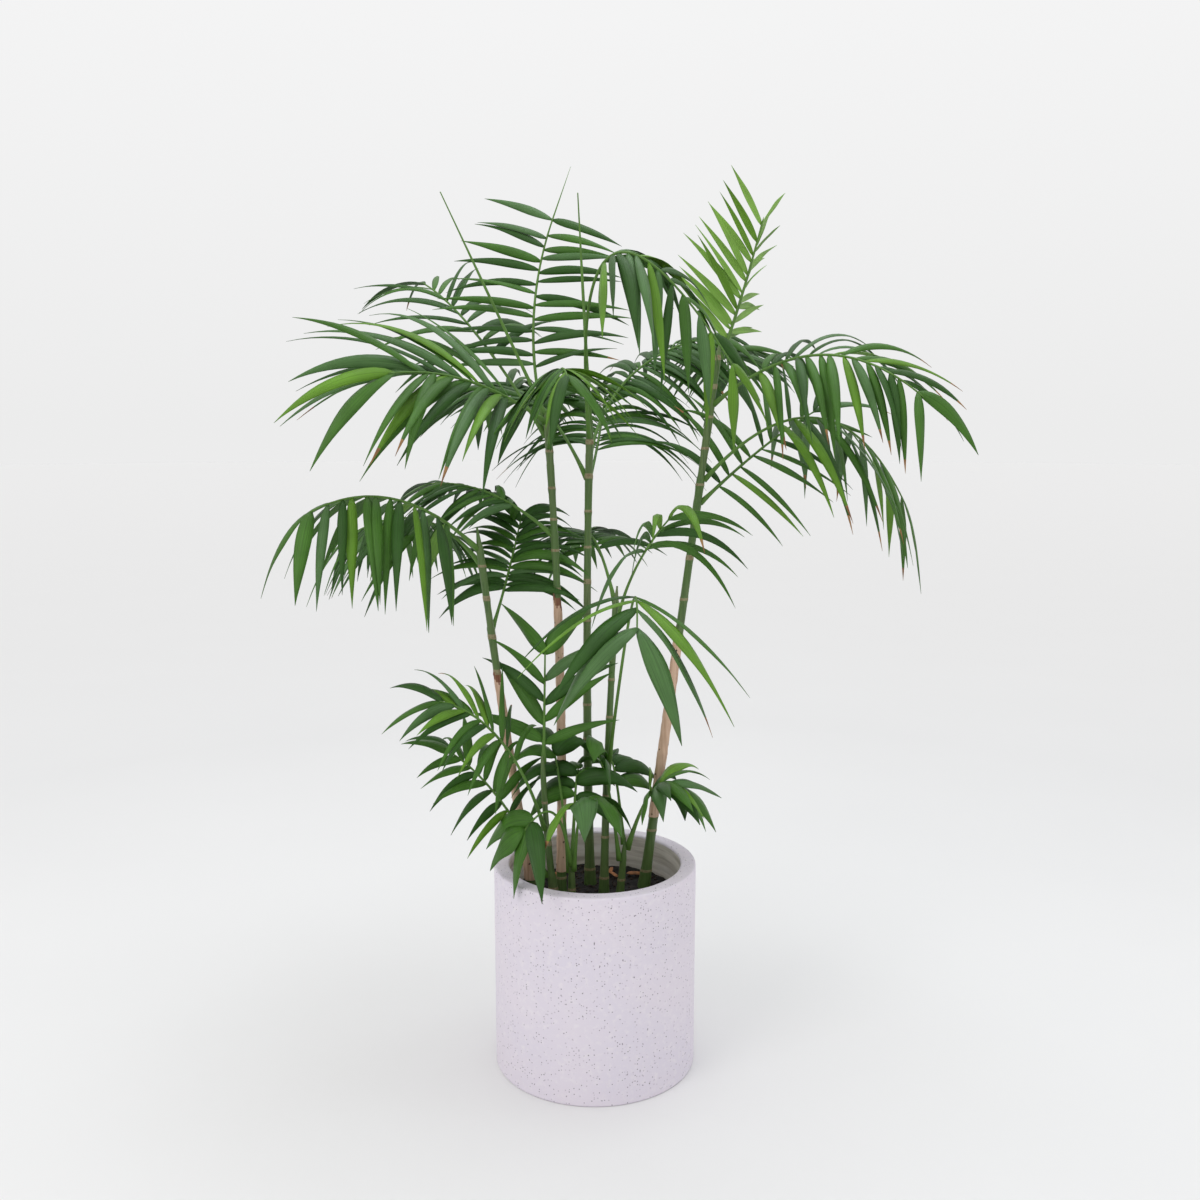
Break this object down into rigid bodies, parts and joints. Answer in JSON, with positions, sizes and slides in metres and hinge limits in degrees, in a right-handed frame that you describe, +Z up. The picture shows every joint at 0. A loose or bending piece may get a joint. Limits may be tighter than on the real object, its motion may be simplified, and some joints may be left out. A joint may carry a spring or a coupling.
{
  "type": "potted bamboo palm",
  "caption": "Clump palm with slender ringed canes and arching pinnate fronds, in a straight round terrazzo planter filled with potting mix.",
  "frame": {"origin": "centre of the planter's flat underside", "axes": "+Z up, +X to the right of the front view, +Y to the back"},
  "size_m": [1.2738, 1.0072, 1.7791],
  "materials": {
    "terrazzo": "matte",
    "soil": "matte",
    "cane": "satin",
    "leaf": "satin",
    "young_leaf": "satin"
  },
  "bodies": {
    "root": {"pot": "terrazzo", "soil": "soil", "cane_left": "cane", "cane_mid_left": "cane", "cane_middle": "cane", "cane_mid_right": "cane", "cane_right": "cane", "shoot_front": "cane", "shoot_low_left": "cane", "shoot_low_right": "cane", "spear_left": "young_leaf", "spear_middle": "young_leaf", "frond_arching_right_stalk": "leaf", "frond_front_stalk": "leaf", "frond_mid_right_stalk": "leaf", "frond_left_front": "leaf", "frond_left_back": "leaf", "frond_left_rear": "leaf", "frond_upright_back": "leaf", "frond_high_left_back": "leaf", "frond_high_left_front": "leaf", "frond_high_front": "leaf", "frond_high_back": "leaf", "frond_mid_left_back": "leaf", "frond_arching_right": "leaf", "frond_middle_right_back": "leaf", "frond_middle_back": "leaf", "frond_middle_left_back": "leaf", "frond_front": "leaf", "frond_mid_right": "leaf", "frond_mid_right_back": "leaf", "frond_top_right": "young_leaf", "frond_right_high": "leaf", "frond_right_low": "leaf", "frond_right_side": "leaf", "frond_right_back": "leaf", "frond_shoot_left": "leaf", "frond_shoot_low": "leaf", "frond_shoot_up": "leaf", "frond_low_left": "leaf", "frond_low_front": "leaf", "frond_low_back": "leaf", "frond_low_left_back": "leaf", "frond_low_middle": "leaf", "frond_low_middle_back": "leaf", "frond_low_right": "leaf", "frond_low_right_back": "leaf"}
  },
  "joints": []
}
